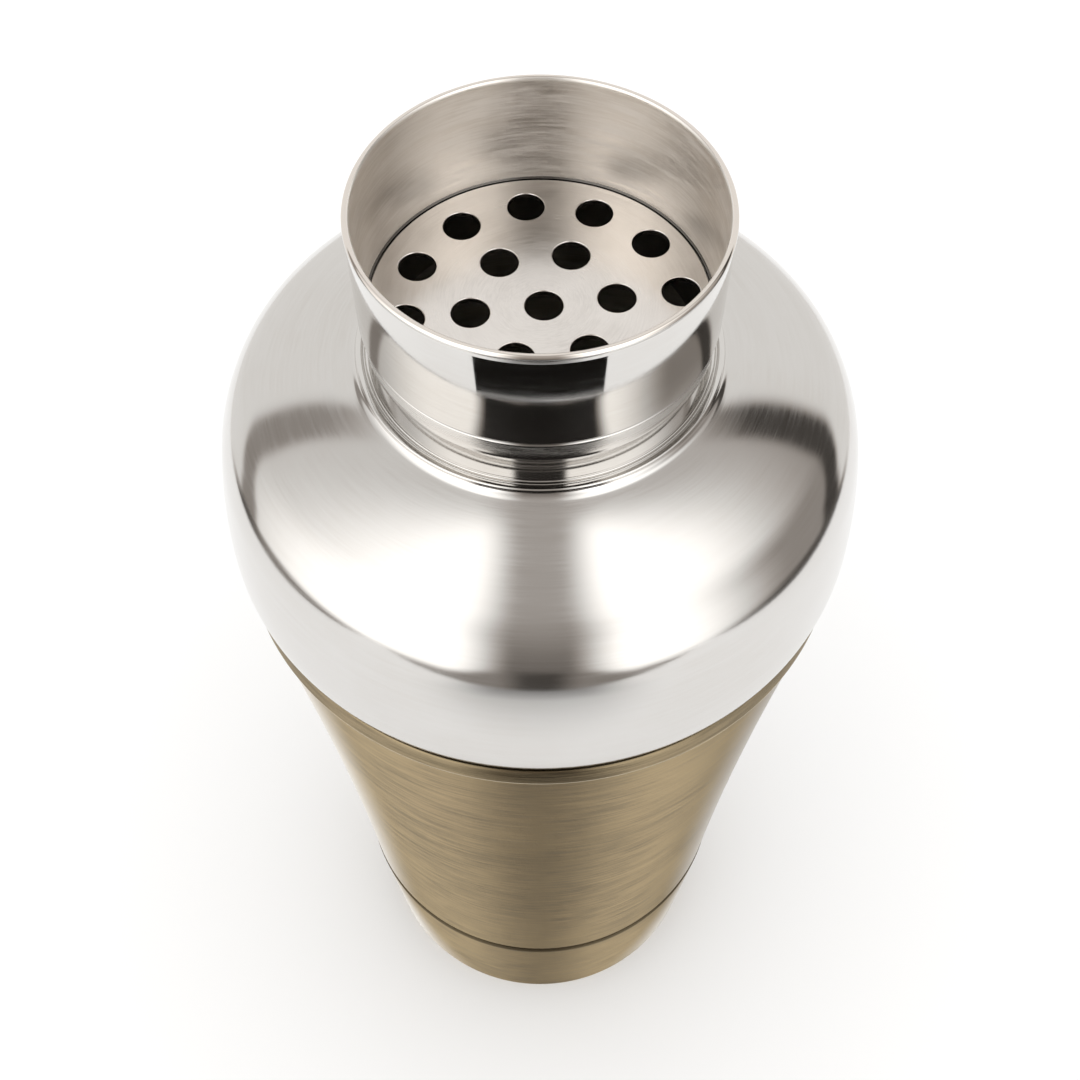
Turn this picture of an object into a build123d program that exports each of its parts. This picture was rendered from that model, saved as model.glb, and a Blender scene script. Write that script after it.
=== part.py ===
from build123d import *
import math
import os

# Cobbler cocktail shaker with its cap off: a tapered cup on a weighted foot, and a strainer top
# that slips over the cup's mouth. Everything is turned about +Z. Z = 0 is the table.
# All sizes are in millimetres.

# --- Driving dimensions ---------------------------------------------------------------------
cup_height = 128.4             # table to the shoulder that the strainer top sits on
foot_radius = 31.4             # outside of the foot at the table
foot_top_radius = 34.4         # outside of the foot cap at its upper edge
foot_height = 28.3             # height of the foot cap
shoulder_radius = 44.9         # outside of the bead round the cup's shoulder
strainer_overhang = 1.0        # how far the strainer top's skirt bulges past the bead
neck_radius = 22.0             # outside of the dome's upright neck
collar_rim_radius = 23.95      # outside of the collar at its pouring rim
collar_base_radius = 23.5      # outside of the collar at its lower edge line
collar_height = 20.6           # lower edge of the collar to its rim

cup_sheet = 0.8                # wall of the cup
cap_sheet = 0.9                # floor of the foot cap
cap_wall = 1.5                 # upper edge of the foot cap, and the depth of the groove above it
top_sheet = 0.9                # wall of the strainer top
collar_sheet = 0.8             # wall of the collar
plate_sheet = 0.9              # strainer plate

top_clearance = 0.3            # radial gap between the cup's spigot and the strainer top
plate_clearance = 0.15         # seam between the strainer plate and the collar

# --- Cup ------------------------------------------------------------------------------------
groove_width = 1.2             # shadow groove between the foot cap and the cup wall
bead_height = 4.6              # shoulder bead
bead_proud = 0.6               # how far the bead stands out from the wall under it
bead_round = 0.6
wall_bow = 1.6                 # how far the taper bows inwards at mid height
spigot_height = 16.0           # upright mouth above the shoulder
spigot_wall_round = 0.35
cup_floor_height = 8.0         # underside of the cup's floor above the table
cup_floor_round = 5.0

# --- Foot -----------------------------------------------------------------------------------
foot_recess = 1.5              # hollow under the foot
foot_rim_width = 2.4           # flat ring that stands on the table
foot_rim_slope = 1.5
foot_round = 0.8
weight_side_gap = 1.2          # space round the weight inside the foot

# --- Strainer top: heights are above the cup's shoulder ---------------------------------------
hem_width = 1.6                # folded hem at the skirt's lower edge
hem_foot = 0.3                 # flat part of the hem that sits on the shoulder
hem_height = 5.0
widest_height = 6.6            # height of the widest radius
dome_arcs = [(90.0, 8.8), (20.5, 24.8), (11.1, 61.0)]   # radius, lean of the surface at its end
crown_radius = 61.0            # last arc, up to the neck
neck_ring_width = 2.5
neck_ring_height = 1.1
neck_ring_round = 0.45
collar_gap = 3.9               # bare neck between the neck ring and the collar
plate_rise = 3.0               # collar's lower edge to the top of the neck
band_height = 4.2              # drawn-in band below the collar's edge line
band_draw = 0.5
band_round = 0.5
collar_heel = 1.3              # fillet inside the foot of the collar's wall
rim_width = 0.95               # rolled rim
rim_height = 1.1

# --- Strainer holes ---------------------------------------------------------------------------
hole_diameter = 5.0
hole_rings = [(0.0, 1), (9.5, 6), (17.9, 12)]   # ring radius, number of holes
hole_turn = 7.7                # degrees from +X to the first hole of each ring
pattern_offset = (0.5, -0.8)   # the punched pattern sits a little off centre


def at(radius, height):
    """A point of an outline, in the XZ plane."""
    return Vector(radius, 0, height)


def corner_arc(before, corner, after, radius):
    """The arc that rounds a corner, no longer than the walls beside it allow."""
    to_before = (before - corner).normalized()
    to_after = (after - corner).normalized()
    half_angle = math.acos(to_before.dot(to_after)) / 2
    reach = min(radius / math.tan(half_angle),
                0.45 * (before - corner).length,
                0.45 * (after - corner).length)
    radius = reach * math.tan(half_angle)
    inwards = (to_before + to_after).normalized()
    middle = corner + inwards * (radius / math.sin(half_angle) - radius)
    return ThreePointArc(corner + to_before * reach, middle, corner + to_after * reach)


def ends(entry):
    """First and last point of an outline entry."""
    if isinstance(entry, tuple):
        return at(*entry[:2]), at(*entry[:2])
    return entry @ 0, entry @ 1


def turned(*outline):
    """Spin a closed outline about Z.

    An entry is a point (radius, height), a rounded corner (radius, height, corner radius) or a
    ready curve. Straight lines join one entry to the next.
    """
    runs = []
    for index, entry in enumerate(outline):
        start, end = ends(entry)
        if isinstance(entry, tuple) and len(entry) == 3:
            before = ends(outline[index - 1])[1]
            after = ends(outline[(index + 1) % len(outline)])[0]
            bend = corner_arc(before, start, after, entry[2])
            runs.append((bend @ 0, bend @ 1, bend))
        elif isinstance(entry, tuple):
            runs.append((start, end, None))
        else:
            runs.append((start, end, entry))
    edges = []
    for index, (start, end, curve) in enumerate(runs):
        if curve is not None:
            edges.append(curve)
        next_start = runs[(index + 1) % len(runs)][0]
        if (next_start - end).length > 1e-6:
            edges.append(Line(end, next_start))
    return revolve(make_face(edges), Axis.Z)


def arc(centre, radius, first, last):
    """An arc about a centre (radius, height), between two leans in degrees above level."""
    points = []
    for lean in (first, (first + last) / 2, last):
        angle = math.radians(lean)
        points.append(at(centre[0] + radius * math.cos(angle),
                         centre[1] + radius * math.sin(angle)))
    return ThreePointArc(*points)


def reversed_arc(curve):
    return ThreePointArc(curve @ 1, curve @ 0.5, curve @ 0)


# --- Worked-out sizes -------------------------------------------------------------------------
strainer_radius = shoulder_radius + strainer_overhang
spigot_radius = strainer_radius - hem_width - hem_foot - top_clearance
guide_radius = spigot_radius + top_clearance
wall_top_radius = shoulder_radius - bead_proud
wall_bottom_height = foot_height + groove_width
heel_radius = foot_top_radius - cap_wall


def cap_inside(height):
    """Inner radius of the foot cap, which carries the cup's taper on down to the table."""
    return heel_radius - (foot_top_radius - foot_radius) * (1 - height / foot_height)


def dome_line(inset):
    """The dome's section from the widest radius to the neck ring, inset by a sheet's thickness."""
    curves = []
    centre = (strainer_radius - dome_arcs[0][0], cup_height + widest_height)
    lean = 0.0
    for radius, next_lean in dome_arcs:
        curves.append(arc(centre, radius - inset, lean, next_lean))
        lean = next_lean
        following = (dome_arcs + [(crown_radius, 90.0)])[len(curves)][0]
        shift = radius - following
        centre = (centre[0] + shift * math.cos(math.radians(lean)),
                  centre[1] + shift * math.sin(math.radians(lean)))
    ring_edge = neck_radius + neck_ring_width
    last_lean = math.degrees(math.acos((ring_edge - centre[0]) / crown_radius))
    curves.append(arc(centre, crown_radius - inset, lean, last_lean))
    return curves


dome_outside = dome_line(0.0)
dome_inside = dome_line(top_sheet)
crown_height = (dome_outside[-1] @ 1).Z            # flat seat of the neck ring
ring_top = crown_height + neck_ring_height
collar_bottom = ring_top + collar_gap
neck_top = collar_bottom + plate_rise              # the strainer plate rests here
plate_top = neck_top + plate_sheet
plate_radius = neck_radius + 0.2
lip_radius = plate_radius + plate_clearance
edge_line = collar_bottom + band_height
rim_top = collar_bottom + collar_height


def wall_curve(inset, low_height, high_height):
    """The cup's bowed taper from the groove to the bead, inset by a sheet's thickness."""
    foot_end = at(foot_top_radius - inset, low_height)
    bead_end = at(wall_top_radius - inset, high_height)
    middle = (foot_end + bead_end) / 2
    return Bezier(foot_end, middle - Vector(wall_bow, 0, 0), bead_end)


def build_cup_shell():
    """Drawn cup: heel inside the foot cap, bowed taper, shoulder bead and upright mouth."""
    outside = wall_curve(0.0, wall_bottom_height, cup_height - bead_height)
    inside = wall_curve(cup_sheet, wall_bottom_height + cup_sheet, cup_height - bead_height)
    inside_down = Bezier(inside @ 1, (inside @ 0 + inside @ 1) / 2 - Vector(wall_bow, 0, 0),
                         inside @ 0)
    mouth = cup_height + spigot_height
    floor_top = cup_floor_height + cup_sheet
    return turned(
        (0, cup_floor_height),
        (cap_inside(cup_floor_height), cup_floor_height, cup_floor_round),
        (heel_radius, foot_height),
        (heel_radius, wall_bottom_height),
        outside,
        (shoulder_radius, cup_height - bead_height + 0.3, bead_round / 2),
        (shoulder_radius, cup_height, bead_round),
        (spigot_radius, cup_height),
        (spigot_radius, mouth, spigot_wall_round),
        (spigot_radius - cup_sheet, mouth, spigot_wall_round),
        (spigot_radius - cup_sheet, cup_height - cup_sheet),
        inside_down,
        (heel_radius - cup_sheet, foot_height),
        (cap_inside(floor_top) - cup_sheet, floor_top, cup_floor_round - cup_sheet),
        (0, floor_top),
    )


def build_base_cap():
    """Foot cap pressed over the cup's heel: standing ring, recessed floor, tapered wall."""
    floor_edge = foot_radius - foot_rim_width - foot_rim_slope
    return turned(
        (0, foot_recess),
        (floor_edge, foot_recess),
        (foot_radius - foot_rim_width, 0, foot_round / 2),
        (foot_radius, 0, foot_round),
        (foot_top_radius, foot_height, foot_round / 2),
        (heel_radius, foot_height),
        (cap_inside(foot_recess + cap_sheet), foot_recess + cap_sheet),
        (0, foot_recess + cap_sheet),
    )


def build_base_weight():
    """Steel disc held between the foot cap's floor and the cup's floor."""
    low = foot_recess + cap_sheet
    radius = cap_inside(low) - max(weight_side_gap, cup_floor_round)
    return turned((0, low), (radius, low), (radius, cup_floor_height), (0, cup_floor_height))


def build_top_shell():
    """Spun strainer top: hemmed skirt, domed shoulder and upright neck."""
    seat = cup_height
    hem_curve = TangentArc(at(strainer_radius, seat + widest_height),
                           at(guide_radius + hem_foot, seat), tangent=(0, 0, -1))
    return turned(
        (guide_radius, seat),
        reversed_arc(hem_curve),
        *dome_outside,
        (neck_radius, crown_height),
        (neck_radius, neck_top),
        (neck_radius - top_sheet, neck_top),
        (neck_radius - top_sheet, crown_height - top_sheet),
        *[reversed_arc(curve) for curve in reversed(dome_inside)],
        (guide_radius, seat + hem_height),
    )


def build_neck_ring():
    """Half-round trim ring that sits on the crown, tight round the neck."""
    outer = neck_radius + neck_ring_width
    return turned(
        (neck_radius, crown_height),
        (outer, crown_height),
        (outer, ring_top, neck_ring_round),
        (neck_radius, ring_top),
    )


def build_collar():
    """Pouring collar: band round the neck, near-upright wall and rolled rim."""
    wall_inside_low = collar_base_radius - collar_sheet
    wall_inside_high = collar_rim_radius - collar_sheet
    rim_outer = collar_rim_radius
    rim_inner = rim_outer - rim_width
    rim_foot = rim_top - rim_height
    lip_top = plate_top + 0.1
    return turned(
        (neck_radius, collar_bottom),
        (collar_base_radius - band_draw, collar_bottom, band_round),
        (collar_base_radius, edge_line),
        (rim_outer, rim_foot),
        (rim_outer, rim_top, rim_width * 0.45),
        (rim_inner, rim_top, rim_width * 0.45),
        (rim_inner, rim_foot),
        (wall_inside_high, rim_foot - 0.3),
        (wall_inside_low, lip_top + collar_heel),
        (wall_inside_low, lip_top, collar_heel),
        (lip_radius, lip_top),
        (lip_radius, neck_top),
        (neck_radius, neck_top),
    )


def build_strainer_plate():
    """Flat punched disc that rests on the neck's upper edge."""
    plate = Pos(0, 0, neck_top) * extrude(Circle(plate_radius), plate_sheet)
    punch = Cylinder(hole_diameter / 2, 4 * plate_sheet)
    for ring_radius, count in hole_rings:
        for index in range(count):
            angle = math.radians(hole_turn + 360 * index / count)
            plate -= Pos(pattern_offset[0] + ring_radius * math.cos(angle),
                         pattern_offset[1] + ring_radius * math.sin(angle),
                         neck_top) * punch
    return plate


os.makedirs("parts", exist_ok=True)
nodes = {
    "cup_shell": build_cup_shell,
    "base_cap": build_base_cap,
    "base_weight": build_base_weight,
    "top_shell": build_top_shell,
    "neck_ring": build_neck_ring,
    "collar": build_collar,
    "strainer_plate": build_strainer_plate,
}
for name, build in nodes.items():
    solid = build()
    solid.label = name
    export_step(solid, f"parts/{name}.step")
    print(name, round(solid.volume), "mm3", solid.bounding_box())
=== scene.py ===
import math

import bmesh
import bpy
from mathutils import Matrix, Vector


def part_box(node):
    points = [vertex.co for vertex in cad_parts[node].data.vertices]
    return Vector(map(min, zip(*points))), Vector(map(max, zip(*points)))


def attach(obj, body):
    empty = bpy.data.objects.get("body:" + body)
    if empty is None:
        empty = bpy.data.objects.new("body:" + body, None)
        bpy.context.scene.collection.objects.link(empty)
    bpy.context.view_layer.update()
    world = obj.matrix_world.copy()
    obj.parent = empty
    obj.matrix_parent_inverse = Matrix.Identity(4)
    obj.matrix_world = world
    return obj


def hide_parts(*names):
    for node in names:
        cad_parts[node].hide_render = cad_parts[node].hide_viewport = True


# Cocktail shaker: finer meshes, looks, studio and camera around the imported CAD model.
# The CAD frame is kept: +Z is the shaker's axis, Z = 0 the table, and the camera stands at -Y.
# Outlines are in millimetres as (radius, height). Meshes are in metres.

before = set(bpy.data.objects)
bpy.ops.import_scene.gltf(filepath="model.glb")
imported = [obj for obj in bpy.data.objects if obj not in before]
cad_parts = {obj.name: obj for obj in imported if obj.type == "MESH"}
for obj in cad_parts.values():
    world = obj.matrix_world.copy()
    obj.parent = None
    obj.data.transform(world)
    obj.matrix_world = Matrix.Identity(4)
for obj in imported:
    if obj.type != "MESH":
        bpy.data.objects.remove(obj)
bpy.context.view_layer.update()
scene = bpy.context.scene

MM = 0.001
TURN_STEPS = 256                           # segments round each turned piece
FOLD = math.radians(35)                    # sharper edges than this are shaded as folds
SAME_POINT = 1e-4                          # closer points of an outline are one point


def low(node):
    """Lowest height of a CAD node, in millimetres."""
    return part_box(node)[0].z / MM


def high(node):
    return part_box(node)[1].z / MM


def radius(node):
    """Outer radius of a CAD node, in millimetres."""
    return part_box(node)[1].x / MM


# --- Sizes taken from the CAD nodes ---------------------------------------------------------
SHOULDER = low("top_shell")                # the strainer top sits here on the cup
STRAINER_RADIUS = radius("top_shell")
NECK_TOP = high("top_shell")
CROWN = low("neck_ring")
RING_TOP = high("neck_ring")
RING_RADIUS = radius("neck_ring")
COLLAR_LOW = low("collar")
RIM_TOP = high("collar")
RIM_RADIUS = radius("collar")
PLATE_TOP = high("strainer_plate")
PLATE_RADIUS = radius("strainer_plate")
BEAD_RADIUS = radius("cup_shell")
MOUTH = high("cup_shell")
CUP_FLOOR = low("cup_shell")
FOOT_TOP = high("base_cap")
FOOT_TOP_RADIUS = radius("base_cap")


# --- Outlines and turned meshes -------------------------------------------------------------
def bow(start, control, end, steps):
    """A curve that leaves start towards control and arrives at end from control."""
    points = []
    for index in range(steps + 1):
        t = index / steps
        points.append(((1 - t) ** 2 * start[0] + 2 * t * (1 - t) * control[0] + t * t * end[0],
                       (1 - t) ** 2 * start[1] + 2 * t * (1 - t) * control[1] + t * t * end[1]))
    return points


def arc(centre, size, first, last, steps):
    """An arc between two leans in degrees above level."""
    points = []
    for index in range(steps + 1):
        angle = math.radians(first + (last - first) * index / steps)
        points.append((centre[0] + size * math.cos(angle), centre[1] + size * math.sin(angle)))
    return points


def rounded(before, corner, after, size):
    """Points of the arc that rounds a corner, no longer than the lines beside it allow."""
    corner, before, after = Vector(corner), Vector(before), Vector(after)
    back, on = before - corner, after - corner
    half = back.angle(on) / 2
    reach = min(size / math.tan(half), 0.45 * back.length, 0.45 * on.length)
    size = reach * math.tan(half)
    back.normalize()
    on.normalize()
    centre = corner + (back + on).normalized() * (size / math.sin(half))
    start = corner + back * reach - centre
    swing = start.angle_signed(corner + on * reach - centre)
    steps = max(3, int(abs(math.degrees(swing)) / 9))
    points = []
    for index in range(steps + 1):
        angle = -swing * index / steps
        points.append((centre.x + start.x * math.cos(angle) - start.y * math.sin(angle),
                       centre.y + start.x * math.sin(angle) + start.y * math.cos(angle)))
    return points


def outline(*entries):
    """A closed outline from points (radius, height), rounded corners (radius, height, size) and
    ready curves (lists of points)."""
    def ends(entry):
        return (entry[0], entry[-1]) if isinstance(entry, list) else (entry[:2], entry[:2])

    points = []
    for index, entry in enumerate(entries):
        if isinstance(entry, list):
            points += entry
        elif len(entry) == 3:
            points += rounded(ends(entries[index - 1])[1], entry[:2],
                              ends(entries[(index + 1) % len(entries)])[0], entry[2])
        else:
            points.append(entry)
    kept = []
    for point in points:
        if not kept or (Vector(point) - Vector(kept[-1])).length > SAME_POINT:
            kept.append(point)
    if (Vector(kept[0]) - Vector(kept[-1])).length <= SAME_POINT:
        kept.pop()
    return kept


def turned(name, points, steps=TURN_STEPS):
    """Spins a closed outline about Z into a smooth mesh. Points at radius 0 become poles."""
    vertices, rings = [], []
    for size, height in points:
        if size < 1e-6:
            rings.append([len(vertices)])
            vertices.append((0.0, 0.0, height * MM))
            continue
        rings.append(list(range(len(vertices), len(vertices) + steps)))
        for index in range(steps):
            angle = 2 * math.pi * index / steps
            vertices.append((size * MM * math.cos(angle), size * MM * math.sin(angle), height * MM))
    faces = []
    for index, ring in enumerate(rings):
        following = rings[(index + 1) % len(rings)]
        if len(ring) == 1 and len(following) == 1:
            continue
        for k in range(steps):
            j = (k + 1) % steps
            corners = [ring[k % len(ring)], ring[j % len(ring)],
                       following[j % len(following)], following[k % len(following)]]
            faces.append(list(dict.fromkeys(corners)))
    mesh = bpy.data.meshes.new(name)
    mesh.from_pydata(vertices, [], faces)
    return finished(name, mesh)


def finished(name, mesh):
    """Outward normals, smooth shading with crisp folds, and a linked object."""
    work = bmesh.new()
    work.from_mesh(mesh)
    bmesh.ops.recalc_face_normals(work, faces=work.faces)
    for face in work.faces:
        face.smooth = True
    for edge in work.edges:
        if len(edge.link_faces) == 2 and edge.calc_face_angle(0.0) > FOLD:
            edge.smooth = False
    work.to_mesh(mesh)
    work.free()
    piece = bpy.data.objects.new(name, mesh)
    scene.collection.objects.link(piece)
    return piece


# --- Strainer top: the same lines as the CAD section, with the small forms added ------------
SHEET = 0.9
HEM_WIDTH, HEM_FOOT, HEM_HEIGHT = 1.6, 0.3, 5.0
WIDEST = SHOULDER + 6.6
DOME_ARCS = [(90.0, 8.8), (20.5, 24.8), (11.1, 61.0)]    # radius, lean of the surface at its end
CROWN_RADIUS = 61.0
NECK_RADIUS = 22.0
COVE = 0.9                                 # hollow curve from the crown up to the neck ring
COVE_TOP = CROWN + COVE * 0.72
RING_SEAT = RING_RADIUS - 0.6              # the ring grips the dome's cove inside this radius


def dome_line(inset, end_radius):
    """The dome's section from the widest radius up to end_radius, inset by the sheet."""
    points = []
    centre = Vector((STRAINER_RADIUS - DOME_ARCS[0][0], WIDEST))
    lean = 0.0
    sizes = [size for size, _ in DOME_ARCS] + [CROWN_RADIUS]
    for index, (size, next_lean) in enumerate(DOME_ARCS):
        points += arc(centre, size - inset, lean, next_lean, 14)
        lean = next_lean
        turn = Vector((math.cos(math.radians(lean)), math.sin(math.radians(lean))))
        centre = centre + turn * (size - sizes[index + 1])
    last = math.degrees(math.acos((end_radius - centre.x) / (CROWN_RADIUS - inset)))
    return points + arc(centre, CROWN_RADIUS - inset, lean, last, 30)


def build_top_shell():
    """Skirt with a rounded hem, dome and neck, spun from one sheet."""
    guide = STRAINER_RADIUS - HEM_WIDTH - HEM_FOOT
    outside = dome_line(0.0, RING_RADIUS + COVE)
    inside = dome_line(SHEET, RING_RADIUS)
    cove_foot = outside[-1]
    cove = bow(cove_foot, (RING_RADIUS + 0.12, cove_foot[1] + 0.22), (RING_RADIUS, COVE_TOP), 10)
    hem = bow((guide + HEM_FOOT, SHOULDER), (STRAINER_RADIUS, SHOULDER + 2.4),
              (STRAINER_RADIUS, WIDEST), 14)
    return turned("top_shell_fine", outline(
        (guide, SHOULDER, 0.15),
        hem,
        outside,
        cove,
        (RING_SEAT, COVE_TOP),
        (RING_SEAT, CROWN),
        (NECK_RADIUS, CROWN),
        (NECK_RADIUS, NECK_TOP),
        (NECK_RADIUS - SHEET, NECK_TOP),
        (NECK_RADIUS - SHEET, CROWN - SHEET, 1.2),
        list(reversed(inside)),
        (guide, SHOULDER + HEM_HEIGHT),
    ))


def build_neck_ring():
    """Trim ring: rounded nose, a fine groove and a second bead against the neck."""
    groove = RING_TOP - 0.4
    bead_top = RING_TOP + 0.02
    against_neck = RING_TOP - 0.25
    return turned("neck_ring_fine", outline(
        (NECK_RADIUS, CROWN),
        (RING_SEAT, CROWN),
        (RING_SEAT, COVE_TOP),
        (RING_RADIUS, COVE_TOP, 0.1),
        (RING_RADIUS, RING_TOP, 0.36),
        (RING_RADIUS - 0.8, RING_TOP, 0.2),
        (RING_RADIUS - 1.0, groove, 0.12),
        (RING_RADIUS - 1.2, groove, 0.12),
        (RING_RADIUS - 1.35, bead_top, 0.16),
        (RING_RADIUS - 1.75, bead_top, 0.16),
        (RING_RADIUS - 1.85, against_neck),
        (NECK_RADIUS, against_neck),
    ))


# --- Collar ---------------------------------------------------------------------------------
COLLAR_BASE_RADIUS = 23.5
COLLAR_SHEET = 0.8
EDGE_LINE = COLLAR_LOW + 4.2               # where the cone starts over the drawn-in band
RIM_WIDTH = 0.95


def build_collar():
    """Cone with a drawn-in band at its foot, a rolled rim and a lip that holds the plate."""
    roll = RIM_WIDTH / 2
    wall_high = RIM_RADIUS - 0.12
    foot_inside = COLLAR_BASE_RADIUS - COLLAR_SHEET
    plate_seat = PLATE_RADIUS + 0.15
    lip = PLATE_TOP + 0.1
    return turned("collar_fine", outline(
        (NECK_RADIUS, COLLAR_LOW),
        (COLLAR_BASE_RADIUS - 0.55, COLLAR_LOW, 0.35),
        (COLLAR_BASE_RADIUS - 0.2, EDGE_LINE - 0.75, 0.3),
        (COLLAR_BASE_RADIUS - 0.42, EDGE_LINE - 0.3, 0.1),
        (COLLAR_BASE_RADIUS, EDGE_LINE, 0.25),
        (wall_high, RIM_TOP - 1.25, 0.3),
        arc((RIM_RADIUS - roll, RIM_TOP - roll), roll, -50, 230, 28),
        (RIM_RADIUS - COLLAR_SHEET, RIM_TOP - 1.5, 0.4),
        (foot_inside, lip + 1.3, 0.4),
        (foot_inside - 0.1, lip, 0.9),
        (plate_seat, lip, 0.08),
        (plate_seat, NECK_TOP),
        (NECK_RADIUS, NECK_TOP),
    ))


# --- Strainer plate -------------------------------------------------------------------------
HOLE_RADIUS = 2.5
HOLE_RINGS = [(0.0, 1), (9.5, 6), (17.9, 12)]
HOLE_TURN = 7.7
PATTERN_OFFSET = (0.5, -0.8)
BURR = 0.14                                # rounded edge of each punched hole
PLATE_STEPS, HOLE_STEPS = 192, 64


def build_plate():
    """Flat disc with punched holes. Every edge is rounded."""
    data = bpy.data.curves.new("plate_outline", "CURVE")
    data.dimensions = "2D"
    data.fill_mode = "BOTH"
    thickness = PLATE_TOP - NECK_TOP
    data.extrude = (thickness / 2 - BURR) * MM
    data.bevel_depth = BURR * MM
    data.bevel_resolution = 4
    data.offset = -BURR * MM

    def circle(x, y, size, steps):
        spline = data.splines.new("POLY")
        spline.points.add(steps - 1)
        spline.use_cyclic_u = True
        for index, point in enumerate(spline.points):
            angle = 2 * math.pi * index / steps
            point.co = ((x + size * math.cos(angle)) * MM, (y + size * math.sin(angle)) * MM, 0, 1)

    circle(0, 0, PLATE_RADIUS, PLATE_STEPS)
    for ring, count in HOLE_RINGS:
        for index in range(count):
            angle = math.radians(HOLE_TURN + 360 * index / count)
            circle(PATTERN_OFFSET[0] + ring * math.cos(angle),
                   PATTERN_OFFSET[1] + ring * math.sin(angle), HOLE_RADIUS, HOLE_STEPS)
    curve = bpy.data.objects.new("plate_outline", data)
    scene.collection.objects.link(curve)
    mesh = bpy.data.meshes.new_from_object(
        curve.evaluated_get(bpy.context.evaluated_depsgraph_get()))
    bpy.data.objects.remove(curve)
    for vertex in mesh.vertices:
        vertex.co.z += (NECK_TOP + PLATE_TOP) / 2 * MM
    return finished("strainer_plate_fine", mesh)


# --- Cup and foot ---------------------------------------------------------------------------
CUP_SHEET = 0.8
BEAD_FOOT = SHOULDER - 4.6
WALL_BOW = 1.6
GROOVE = 1.2
CAP_WALL = 1.5
FOOT_RADIUS = 31.4
FOOT_STEP = FOOT_TOP_RADIUS - CAP_WALL     # the cap's wall sits against the cup here
SPIGOT_RADIUS = STRAINER_RADIUS - HEM_WIDTH - HEM_FOOT - 0.3
LEDGE_RADIUS = BEAD_RADIUS - 1.6           # the bead is undercut to here, under the hem
LEDGE_FOOT = SHOULDER - 1.5


def build_cup_shell():
    """Bowed cone with a sloped bead at its shoulder and the upright mouth that the top fits."""
    groove_top = FOOT_TOP + GROOVE
    wall_top = BEAD_RADIUS - 0.6
    mouth_foot = SPIGOT_RADIUS - 0.6
    mouth_inside = SPIGOT_RADIUS - CUP_SHEET

    def wall(inset, foot, end):
        start, stop = (FOOT_TOP_RADIUS - inset, foot), (wall_top - inset, end)
        middle = ((start[0] + stop[0]) / 2 - WALL_BOW, (start[1] + stop[1]) / 2)
        return bow(start, middle, stop, 60)

    bead_low = BEAD_FOOT + 0.5
    floor_radius = FOOT_RADIUS + (FOOT_TOP_RADIUS - FOOT_RADIUS) * CUP_FLOOR / FOOT_TOP - CAP_WALL
    return turned("cup_shell_fine", outline(
        (0, CUP_FLOOR),
        (floor_radius, CUP_FLOOR, 5.0),
        (FOOT_STEP, FOOT_TOP),
        (FOOT_STEP, groove_top),
        (FOOT_TOP_RADIUS - 0.35, groove_top, 0.2),
        wall(0.0, groove_top + 0.4, bead_low - 0.1),
        (BEAD_RADIUS, bead_low + 0.3, 0.35),
        (BEAD_RADIUS - 0.8, LEDGE_FOOT, 0.3),
        (LEDGE_RADIUS, LEDGE_FOOT, 0.2),
        (LEDGE_RADIUS, SHOULDER, 0.2),
        (mouth_foot, SHOULDER, 0.05),
        (mouth_foot, SHOULDER + 0.6, 0.1),
        (SPIGOT_RADIUS, SHOULDER + 1.0, 0.1),
        (SPIGOT_RADIUS, MOUTH, 0.35),
        (mouth_inside, MOUTH, 0.35),
        (mouth_inside - 0.6, SHOULDER, 1.0),
        list(reversed(wall(CUP_SHEET, groove_top + CUP_SHEET, bead_low - 0.1))),
        (floor_radius - CUP_SHEET + 0.1, CUP_FLOOR + CUP_SHEET, 4.2),
        (0, CUP_FLOOR + CUP_SHEET),
    ))


def build_base_cap():
    """Shallow cup with a standing ring round its recessed underside."""
    recess, floor_top = 1.5, 2.4
    floor_edge = FOOT_RADIUS - 3.9
    return turned("base_cap_fine", outline(
        (0, recess),
        (floor_edge, recess, 0.5),
        (FOOT_RADIUS - 2.4, 0, 0.4),
        (FOOT_RADIUS, 0, 0.8),
        (FOOT_TOP_RADIUS, FOOT_TOP, 0.4),
        (FOOT_STEP, FOOT_TOP),
        (FOOT_STEP - 2.7, floor_top, 0.3),
        (0, floor_top),
    ))


# --- Camera ---------------------------------------------------------------------------------
CAMERA_DISTANCE = 0.1407                   # from the shaker's axis
CAMERA_HEIGHT = 0.1989                     # above the shoulder
CAMERA_PITCH = 56.0                        # degrees below level
SENSOR = 36.0                              # millimetres
LENS = SENSOR * 40 / 27


def build_camera():
    data = bpy.data.cameras.new("camera")
    data.sensor_width = SENSOR
    data.lens = LENS
    data.clip_start = 0.005
    data.clip_end = 50.0
    camera = bpy.data.objects.new("camera", data)
    camera.location = (0.0, -CAMERA_DISTANCE, SHOULDER * MM + CAMERA_HEIGHT)
    camera.rotation_euler = (math.radians(90.0 - CAMERA_PITCH), 0.0, 0.0)
    scene.collection.objects.link(camera)
    scene.camera = camera


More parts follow.
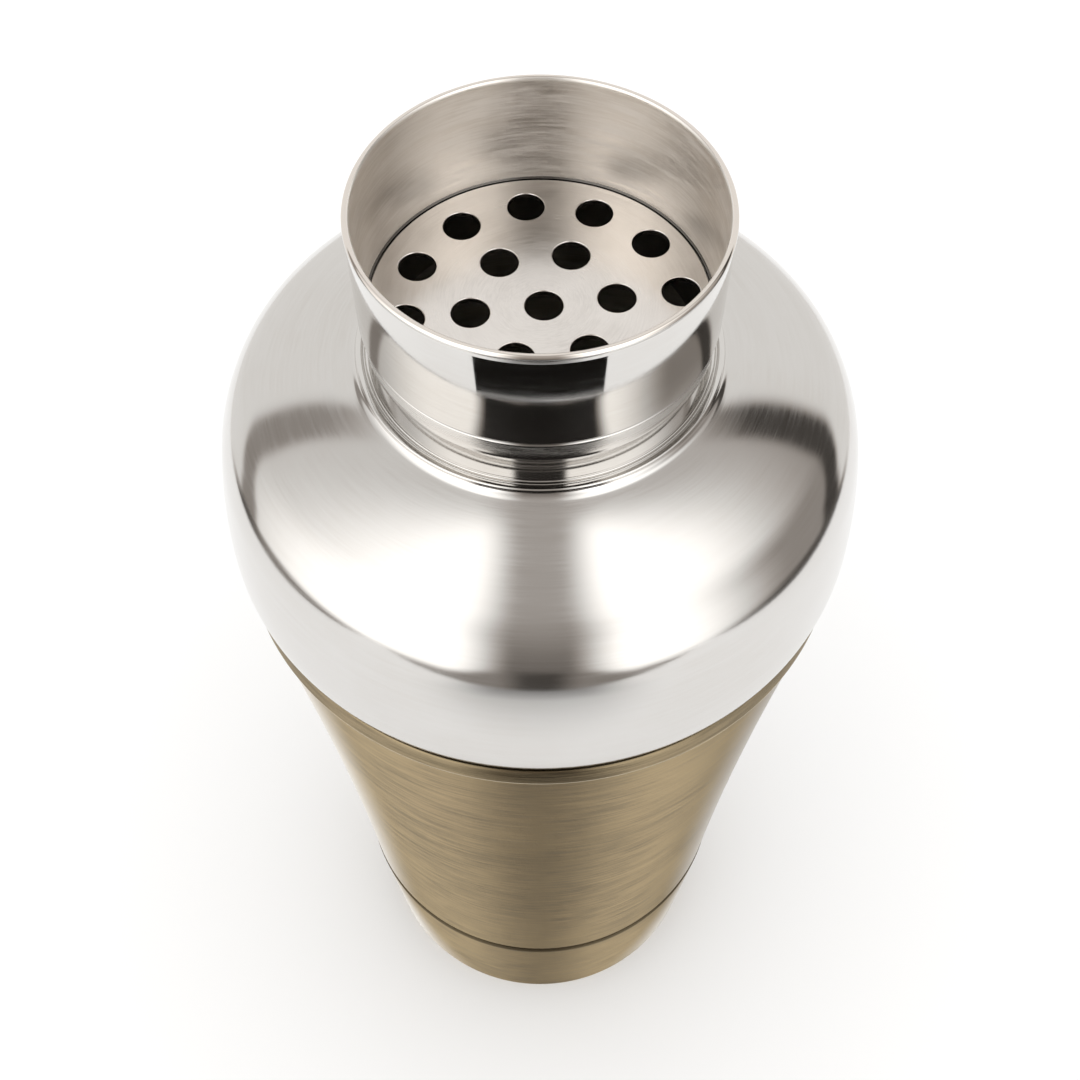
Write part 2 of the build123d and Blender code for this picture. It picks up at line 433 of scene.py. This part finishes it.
# --- Node helpers ---------------------------------------------------------------------------
class Graph:
    """Small helper that adds nodes to a tree and links them."""

    def __init__(self, tree):
        self.tree = tree

    def put(self, socket, value):
        if isinstance(value, bpy.types.NodeSocket):
            self.tree.links.new(value, socket)
        else:
            socket.default_value = value

    def add(self, kind, inputs=None, **settings):
        node = self.tree.nodes.new(kind)
        for key, value in settings.items():
            setattr(node, key, value)
        for key, value in (inputs or {}).items():
            self.put(node.inputs[key], value)
        return node

    def math(self, operation, *values):
        return self.add("ShaderNodeMath", dict(enumerate(values)), operation=operation).outputs[0]

    def smooth(self, value, start, end, first=0.0, last=1.0):
        """first below start, last above end, and a soft step between."""
        node = self.add("ShaderNodeMapRange",
                        {"Value": value, "From Min": start, "From Max": end,
                         "To Min": first, "To Max": last}, interpolation_type="SMOOTHSTEP")
        return node.outputs["Result"]

    def blend(self, factor, a, b):
        """a where factor is 0, b where it is 1."""
        node = self.add("ShaderNodeMix", data_type="FLOAT")
        for index, value in ((0, factor), (2, a), (3, b)):
            self.put(node.inputs[index], value)
        return node.outputs[0]

    def mix(self, factor, a, b):
        """The same for colours."""
        node = self.add("ShaderNodeMix", data_type="RGBA")
        for index, value in ((0, factor), (6, a), (7, b)):
            self.put(node.inputs[index], value)
        return node.outputs[2]

    def join(self, x, y, z):
        return self.add("ShaderNodeCombineXYZ", {0: x, 1: y, 2: z}).outputs[0]

    def noise(self, place, scale, detail=2.0, rough=0.5):
        node = self.add("ShaderNodeTexNoise", {"Vector": place, "Scale": scale,
                                               "Detail": detail, "Roughness": rough})
        return node.outputs[0]


def grey(level):
    return (level, level, level, 1.0)


# --- Studio ---------------------------------------------------------------------------------
def panel_light(graph, facing_right, side, climb):
    """A tall soft panel each side, a dark strip at its far end and the backdrop beyond that."""
    # The left panel stays bright nearly to its end. The right one fades sooner, above all low down.
    left = graph.smooth(side, 60, 115, 1.75, 0.80)
    right_low = graph.smooth(side, 38, 82, 1.75, 0.36)
    right_high = graph.smooth(side, 65, 120, 1.75, 0.60)
    right = graph.blend(graph.smooth(climb, 15, 60), right_low, right_high)
    panel = graph.blend(facing_right, left, right)

    # The strips lean back as they rise, and fade out high up.
    end = graph.math("MULTIPLY_ADD", graph.math("MAXIMUM", climb, -10.0), 0.4, 107.0)
    beyond = graph.math("SUBTRACT", side, end)
    strip = graph.smooth(graph.math("ABSOLUTE", beyond), 7.5, 3.5)
    strip = graph.math("MULTIPLY", strip, graph.smooth(climb, 60, 40))
    panel = graph.blend(strip, panel, graph.blend(facing_right, 0.34, 0.07))
    return graph.blend(graph.smooth(beyond, 4, 9), panel, 0.93)


def slit_light(graph, level, ray_depth, across, side, climb):
    """The slit behind the camera runs up over the shaker, narrower overhead, with soft sides. Only
    a polished face that looks at another piece first sees how black it is."""
    second = graph.math("GREATER_THAN", ray_depth, 2.5)
    second = graph.math("MULTIPLY", second, graph.smooth(climb, 66, 55))
    width = graph.smooth(climb, 25, 85, 0.275, 0.13)
    width = graph.math("MULTIPLY", width,
                       graph.blend(second, 1.0, graph.smooth(climb, 25, 45, 2.0, 0.9)))
    aside = graph.math("DIVIDE", graph.math("ABSOLUTE", across), width)
    ahead = graph.math("MAXIMUM", graph.smooth(side, 88, 60), graph.smooth(climb, 70, 78))
    edge_out, edge_in = graph.blend(second, 1.6, 1.15), graph.blend(second, 0.45, 0.9)
    slit = graph.math("MULTIPLY", graph.smooth(aside, edge_out, edge_in), ahead)
    inside = graph.math("MULTIPLY", graph.smooth(climb, -25, 90, 0.20, 0.50),
                        graph.blend(second, 1.0, 0.06))
    return graph.blend(slit, level, inside)


def room_light(graph, level, facing_right, side, climb):
    """Below the panels: the room past the table's front and side edges, darkest behind the
    camera."""
    room_left = graph.smooth(side, 92, 104, 0.30, 0.14)
    room_right = graph.smooth(side, 35, 60, 0.30, 0.10)
    room = graph.blend(facing_right, room_left, room_right)
    room = graph.blend(graph.smooth(side, 14, 3), room, 0.08)
    sill = graph.smooth(side, 8, 30, -15.0, -23.0)
    below = graph.smooth(graph.math("SUBTRACT", sill, climb), -3, 3)
    below = graph.math("MULTIPLY", below, graph.smooth(side, 122, 108))
    return graph.blend(below, level, room)


def build_world():
    """What the metal reflects: a tall soft panel each side of a dark slit behind the camera, dark
    strips at the panels' far ends, a pale backdrop behind the shaker and a dark room below the
    table's front edge. The camera sees plain white, and the table is lit evenly.

    Directions are in degrees: turn is right of the camera's side, side the same either way, and
    climb above level."""
    world = bpy.data.worlds.new("studio")
    scene.world = world
    world.use_nodes = True
    world.node_tree.nodes.clear()
    graph = Graph(world.node_tree)
    direction = graph.add("ShaderNodeTexCoord").outputs["Generated"]
    across, depth, up = graph.add("ShaderNodeSeparateXYZ", {0: direction}).outputs
    to_front = graph.math("MULTIPLY", depth, -1.0)
    turn = graph.math("DEGREES", graph.math("ARCTAN2", across, to_front))
    side = graph.math("ABSOLUTE", turn)
    climb = graph.math("DEGREES", graph.math("ARCSINE", up))
    facing_right = graph.smooth(turn, -5, 5)
    path = graph.add("ShaderNodeLightPath")

    level = panel_light(graph, facing_right, side, climb)
    level = slit_light(graph, level, path.outputs["Ray Depth"], across, side, climb)
    level = room_light(graph, level, facing_right, side, climb)

    warm = graph.mix(graph.smooth(level, 0.1, 1.0), (1.0, 0.90, 0.82, 1.0), (1.0, 0.985, 0.965, 1.0))
    lights = graph.add("ShaderNodeBackground", {"Color": warm, "Strength": level})
    plain = graph.add("ShaderNodeBackground", {"Color": grey(0.985), "Strength": 1.0})
    even = graph.add("ShaderNodeBackground", {"Color": grey(1.0), "Strength": 1.25})
    chosen = graph.add("ShaderNodeMixShader", {0: path.outputs["Is Diffuse Ray"],
                                               1: lights.outputs[0], 2: even.outputs[0]})
    chosen = graph.add("ShaderNodeMixShader", {0: path.outputs["Is Camera Ray"],
                                               1: chosen.outputs[0], 2: plain.outputs[0]})
    graph.add("ShaderNodeOutputWorld", {0: chosen.outputs[0]})


TABLE_SIDE, TABLE_FRONT, TABLE_BACK = 0.30, 0.28, 0.9    # metres from the shaker's axis
TABLE_WHITE = 0.90


def build_table():
    """A white table top. Its front and side edges are near, so the dome reflects a dark line.
    Its front middle carries a painted shadow, as of the camera and photographer, that only
    reflections show; the camera sees the table plain."""
    steps_x, steps_y = 24, 48
    row = steps_x + 1
    vertices = [((2 * i / steps_x - 1) * TABLE_SIDE,
                 -TABLE_FRONT + (TABLE_BACK + TABLE_FRONT) * j / steps_y, 0.0)
                for j in range(steps_y + 1) for i in range(row)]
    faces = [(j * row + i, j * row + i + 1, (j + 1) * row + i + 1, (j + 1) * row + i)
             for j in range(steps_y) for i in range(steps_x)]
    mesh = bpy.data.meshes.new("table")
    mesh.from_pydata(vertices, [], faces)
    table = bpy.data.objects.new("table", mesh)
    scene.collection.objects.link(table)
    material = bpy.data.materials.new("table_white")
    material.use_nodes = True
    graph = Graph(material.node_tree)
    surface = material.node_tree.nodes["Principled BSDF"]
    place = graph.add("ShaderNodeTexCoord").outputs["Object"]
    x, y, _ = graph.add("ShaderNodeSeparateXYZ", {0: place}).outputs
    # Painted shadow: the table's front middle is darkened for reflected rays only.
    painted_front_shadow = graph.smooth(y, -0.27, -0.12, 0.30, TABLE_WHITE)
    middle = graph.smooth(graph.math("ABSOLUTE", x), 0.14, 0.05)
    shade = graph.blend(middle, TABLE_WHITE, painted_front_shadow)
    camera_ray = graph.add("ShaderNodeLightPath").outputs["Is Camera Ray"]
    shade = graph.blend(camera_ray, shade, TABLE_WHITE)
    graph.put(surface.inputs["Base Color"], graph.join(shade, shade, shade))
    surface.inputs["Roughness"].default_value = 0.9
    surface.inputs["Specular IOR Level"].default_value = 0.0
    mesh.materials.append(material)


FLAG_RADIUS, FLAG_LOW, FLAG_HIGH = 0.069, 0.118, 0.144    # metres
FLAG_TURN = 34.0                           # degrees to each side of the front
FLAG_REACH = 0.045                         # nearer pieces than this don't reflect the flag


def build_flag():
    """A black strip in front of the shoulder, seen only as the black middle of the collar."""
    steps = 24
    vertices, faces = [], []
    for index in range(steps + 1):
        angle = math.radians(-90 - FLAG_TURN + 2 * FLAG_TURN * index / steps)
        for height in (FLAG_LOW, FLAG_HIGH):
            vertices.append((FLAG_RADIUS * math.cos(angle), FLAG_RADIUS * math.sin(angle), height))
        if index:
            faces.append((2 * index - 2, 2 * index, 2 * index + 1, 2 * index - 1))
    mesh = bpy.data.meshes.new("flag")
    mesh.from_pydata(vertices, [], faces)
    flag = bpy.data.objects.new("flag", mesh)
    scene.collection.objects.link(flag)
    material = bpy.data.materials.new("flag_black")
    material.use_nodes = True
    surface = material.node_tree.nodes["Principled BSDF"]
    surface.inputs["Base Color"].default_value = (0.012, 0.011, 0.010, 1.0)
    surface.inputs["Roughness"].default_value = 1.0
    surface.inputs["Specular IOR Level"].default_value = 0.0
    graph = Graph(material.node_tree)
    length = graph.add("ShaderNodeLightPath").outputs["Ray Length"]
    clear = graph.add("ShaderNodeBsdfTransparent")
    shown = graph.add("ShaderNodeMixShader", {0: graph.math("GREATER_THAN", length, FLAG_REACH),
                                              1: clear.outputs[0], 2: surface.outputs[0]})
    graph.put(material.node_tree.nodes["Material Output"].inputs["Surface"], shown.outputs[0])
    mesh.materials.append(material)
    flag.visible_camera = False
    flag.visible_diffuse = False
    flag.visible_shadow = False


# --- Materials ------------------------------------------------------------------------------
# Dark tint for painted shade in gaps and grooves; pale tint for a painted sheen at grazing views.
PAINTED_SHADE_TINT = (0.03, 0.025, 0.02, 1)
GRAZING_SHEEN_TINT = (0.93, 0.92, 0.90, 1)
COVERING = 0.8                             # share of the tint that the painted highlight and wear, and the painted shade, each replace
LINE_DEPTH = 0.00002                       # metres
AXIS_MARGIN = 0.001                        # metres; nearer the axis, the brush lines fade out


def metal(name, **look):
    """Brushed metal. The brush lines run round the shaker's axis.

    colour, dark, light: tint of clean metal, of patches and of brush lines, with streak as their
    strength. rough: roughness. lines, cloud: how much the brush lines and the patches change it.
    bump: depth of the lines. stretch: how far reflections smear across them. fine, broad: lines
    per metre, with round_fine and round_broad for how soon they break. cloud_scale: patches per
    metre. edge, trim and the shade mask: optional (graph, radius, height) -> 0..1. Where edge is
    full, the bright tint is painted on, a painted highlight along with wear; where the shade mask
    is full, a dark tint is painted on as painted shade; trim_rough multiplies the roughness where
    trim is full. pale: how far grazing views turn white, a painted sheen.
    """
    material = bpy.data.materials.new(name)
    material.use_nodes = True
    graph = Graph(material.node_tree)
    surface = material.node_tree.nodes["Principled BSDF"]
    place = graph.add("ShaderNodeTexCoord").outputs["Object"]
    x, y, z = graph.add("ShaderNodeSeparateXYZ", {0: place}).outputs
    size = graph.math("SQRT", graph.math("ADD", graph.math("MULTIPLY", x, x),
                                         graph.math("MULTIPLY", y, y)))
    safe = graph.math("MAXIMUM", size, AXIS_MARGIN)
    east, north = graph.math("DIVIDE", x, safe), graph.math("DIVIDE", y, safe)
    along = graph.math("SUBTRACT", z, size)            # runs across the brush lines

    def lines(round_scale, across_scale, detail):
        vector = graph.join(graph.math("MULTIPLY", east, round_scale),
                            graph.math("MULTIPLY", north, round_scale),
                            graph.math("MULTIPLY", along, across_scale))
        return graph.noise(vector, 1.0, detail, 0.6)

    fine = lines(look.get("round_fine", 5.0), look.get("fine", 5200.0), 3.0)
    broad = lines(look.get("round_broad", 1.6), look.get("broad", 900.0), 2.0)
    brush = graph.blend(0.4, fine, broad)
    cloud = graph.noise(place, look.get("cloud_scale", 70.0), 3.0, 0.55)

    tint = graph.mix(graph.smooth(cloud, 0.32, 0.68), look["dark"], look["colour"])
    streak = graph.math("MULTIPLY", graph.smooth(brush, 0.36, 0.62), look.get("streak", 0.5))
    tint = graph.mix(streak, tint, look.get("light", look["colour"]))
    rough = graph.smooth(brush, 0.30, 0.70, look["rough"] * (1 - look["lines"]),
                         look["rough"] * (1 + look["lines"]))
    rough = graph.math("MULTIPLY_ADD", graph.math("SUBTRACT", cloud, 0.5), look.get("cloud", 0.0),
                       rough)
    # Painted highlight along with wear: the edge mask paints the bright tint in and lowers the
    # roughness.
    if "edge" in look:
        highlight_and_wear = look["edge"](graph, size, z)
        tint = graph.mix(graph.math("MULTIPLY", highlight_and_wear, COVERING), tint, look["bright"])
        rough = graph.math("MULTIPLY", rough, graph.blend(highlight_and_wear, 1.0, 0.7))
    # Painted shade: this mask paints the dark tint in.
    if "painted_shade" in look:
        tint = graph.mix(graph.math("MULTIPLY", look["painted_shade"](graph, size, z), COVERING), tint,
                         PAINTED_SHADE_TINT)
    if "trim" in look:
        trim = graph.blend(look["trim"](graph, size, z), 1.0, look["trim_rough"])
        rough = graph.math("MULTIPLY", rough, trim)
    # Painted sheen: grazing views turn towards a pale tint.
    if "pale" in look:
        facing = graph.add("ShaderNodeLayerWeight", {"Blend": 0.5}).outputs["Facing"]
        tint = graph.mix(graph.smooth(facing, 0.84, 1.0, 0.0, look["pale"]), tint, GRAZING_SHEEN_TINT)
    graph.put(surface.inputs["Base Color"], tint)
    graph.put(surface.inputs["Roughness"], rough)
    surface.inputs["Metallic"].default_value = 1.0
    surface.inputs["Anisotropic"].default_value = look["stretch"]
    surface.inputs["Anisotropic Rotation"].default_value = 0.25
    tangent = graph.add("ShaderNodeTangent", direction_type="RADIAL", axis="Z")
    graph.put(surface.inputs["Tangent"], tangent.outputs[0])
    bump = graph.add("ShaderNodeBump", {"Strength": look["bump"], "Distance": LINE_DEPTH,
                                        "Height": brush})
    graph.put(surface.inputs["Normal"], bump.outputs[0])
    return material


def near(graph, value, centre, reach):
    """1 where value is close to centre, in millimetres, fading to 0 at reach."""
    gap = graph.math("ABSOLUTE", graph.math("SUBTRACT", value, centre * MM))
    return graph.smooth(gap, reach * MM, reach * 0.35 * MM)


def brass_highlight_and_wear(graph, size, z):
    """Lower edges of the bead and of the foot painted bright: a painted highlight along with wear.
    """
    return graph.math("MAXIMUM", near(graph, z, BEAD_FOOT + 0.75, 0.35), near(graph, z, 0.3, 0.6))


def brass_painted_shade(graph, size, z):
    """Painted shade in the groove over the foot and in the gap under the strainer top, and a fainter
    painted shade on the bead, whose front reflects dark.
    """
    groove = graph.math("MULTIPLY", near(graph, z, FOOT_TOP + 0.3, 1.4), 0.7)
    gap = near(graph, z, SHOULDER - 0.9, 0.9)
    bead = graph.math("MULTIPLY", near(graph, z, SHOULDER - 2.6, 1.5), 0.35)
    return graph.math("MAXIMUM", groove, graph.math("MAXIMUM", gap, bead))


def bead_only(graph, size, z):
    return graph.smooth(z, (BEAD_FOOT + 0.3) * MM, (BEAD_FOOT + 0.8) * MM)


def steel_highlight_and_wear(graph, size, z):
    """Hem and a line at the foot of the neck ring painted bright: a painted highlight along with
    wear.
    """
    return graph.math("MAXIMUM", near(graph, z, SHOULDER, 0.5), near(graph, size, RING_RADIUS, 0.25))


# Top of the rolled rim painted bright: a painted highlight along with wear.
def collar_highlight_and_wear(graph, size, z):
    return near(graph, z, RIM_TOP, 0.45)


def collar_painted_shade(graph, size, z):
    """Painted shade: a dark line in the undercut under the collar's lower edge."""
    outside = graph.smooth(size, (COLLAR_BASE_RADIUS - 2) * MM, (COLLAR_BASE_RADIUS - 1) * MM)
    return graph.math("MULTIPLY", near(graph, z, EDGE_LINE - 0.3, 0.35), outside)


def satin_band(graph, size, z):
    """The collar's drawn-in band, which is less polished than the rest."""
    return near(graph, z, EDGE_LINE - 1.9, 1.5)


def plate_highlight_and_burr(graph, size, z):
    """The rounded edges of the punched holes, painted bright: a painted highlight along with a
    polished burr.
    """
    return graph.smooth(z, (PLATE_TOP - 0.03) * MM, (PLATE_TOP - 0.08) * MM)


LOOKS = {
    "antique_brass": dict(
        colour=(0.275, 0.217, 0.130, 1), dark=(0.180, 0.145, 0.092, 1),
        light=(0.41, 0.325, 0.200, 1), bright=(0.66, 0.56, 0.40, 1), rough=0.55, lines=0.25,
        bump=1.0, stretch=0.97, streak=0.85, cloud=0.04, cloud_scale=45.0, fine=4200.0,
        broad=1500.0, round_broad=3.0, edge=brass_highlight_and_wear, painted_shade=brass_painted_shade,
        trim=bead_only, trim_rough=0.36, pale=0.75),
    "satin_steel": dict(
        colour=(0.67, 0.655, 0.635, 1), dark=(0.645, 0.625, 0.60, 1),
        light=(0.70, 0.69, 0.675, 1), bright=(0.80, 0.78, 0.76, 1), rough=0.11, lines=0.3,
        bump=0.10, stretch=0.4, cloud=0.02, edge=steel_highlight_and_wear),
    "polished_steel": dict(
        colour=(0.70, 0.685, 0.665, 1), dark=(0.67, 0.65, 0.625, 1),
        light=(0.72, 0.71, 0.69, 1), bright=(0.82, 0.76, 0.70, 1), rough=0.06, lines=0.4,
        bump=0.04, stretch=0.4, cloud=0.02, edge=collar_highlight_and_wear, painted_shade=collar_painted_shade,
        trim=satin_band, trim_rough=5.5),
    "brushed_steel": dict(
        colour=(0.80, 0.75, 0.69, 1), dark=(0.73, 0.68, 0.62, 1),
        light=(0.88, 0.84, 0.79, 1), bright=(0.90, 0.87, 0.83, 1), rough=0.46, lines=0.25,
        bump=0.6, stretch=0.55, streak=0.8, cloud=0.05, cloud_scale=90.0, fine=3200.0,
        edge=collar_highlight_and_wear),
    "plate_steel": dict(
        colour=(0.80, 0.765, 0.73, 1), dark=(0.70, 0.665, 0.63, 1),
        light=(0.86, 0.83, 0.80, 1), bright=(0.95, 0.93, 0.91, 1), rough=0.22, lines=0.25,
        bump=0.14, stretch=0.35, cloud=0.12, cloud_scale=110.0, edge=plate_highlight_and_burr),
    "weight_steel": dict(
        colour=(0.33, 0.33, 0.34, 1), dark=(0.27, 0.27, 0.28, 1), rough=0.5,
        lines=0.2, bump=0.3, stretch=0.3),
}


def dress(piece, *materials):
    piece.data.materials.clear()
    for material in materials:
        piece.data.materials.append(material)


LOOKS_IN, LOOKS_UP = -0.05, 0.6            # how far a face's normal leans inwards or up


def paint_inside(piece, largest, lowest):
    """Gives the second slot to the faces within a radius and above a height that look inwards or
    up."""
    for face in piece.data.polygons:
        size = math.hypot(face.center.x, face.center.y)
        outwards = (face.normal.x * face.center.x + face.normal.y * face.center.y) / max(size, 1e-6)
        if size < largest * MM and face.center.z > lowest * MM and (
                outwards < LOOKS_IN or face.normal.z > LOOKS_UP):
            face.material_index = 1


# --- Put together ---------------------------------------------------------------------------
looks = {name: metal(name, **look) for name, look in LOOKS.items()}
# CAD node: builder, body, slot, names of the materials outside and inside
pieces = {
    "top_shell": (build_top_shell, "strainer_top", "satin_steel", ["satin_steel"]),
    "neck_ring": (build_neck_ring, "strainer_top", "polished_steel", ["polished_steel"]),
    "collar": (build_collar, "strainer_top", "polished_steel", ["polished_steel", "brushed_steel"]),
    "strainer_plate": (build_plate, "strainer_top", "satin_steel", ["plate_steel"]),
    "cup_shell": (build_cup_shell, "cup", "antique_brass", ["antique_brass", "brushed_steel"]),
    "base_cap": (build_base_cap, "cup", "antique_brass", ["antique_brass"]),
}
made = {}
for node, (build, body, slot, names) in pieces.items():
    piece = build()
    dress(piece, *[looks[name] for name in names])
    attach(piece, body)
    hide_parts(node)
    made[node] = piece
dress(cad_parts["base_weight"], looks["weight_steel"])
paint_inside(made["collar"], RIM_RADIUS - 0.7, PLATE_TOP + 0.3)
paint_inside(made["cup_shell"], SPIGOT_RADIUS - 0.3, CUP_FLOOR + 0.4)

build_camera()
build_world()
build_table()
build_flag()
scene.view_settings.view_transform = "Standard"
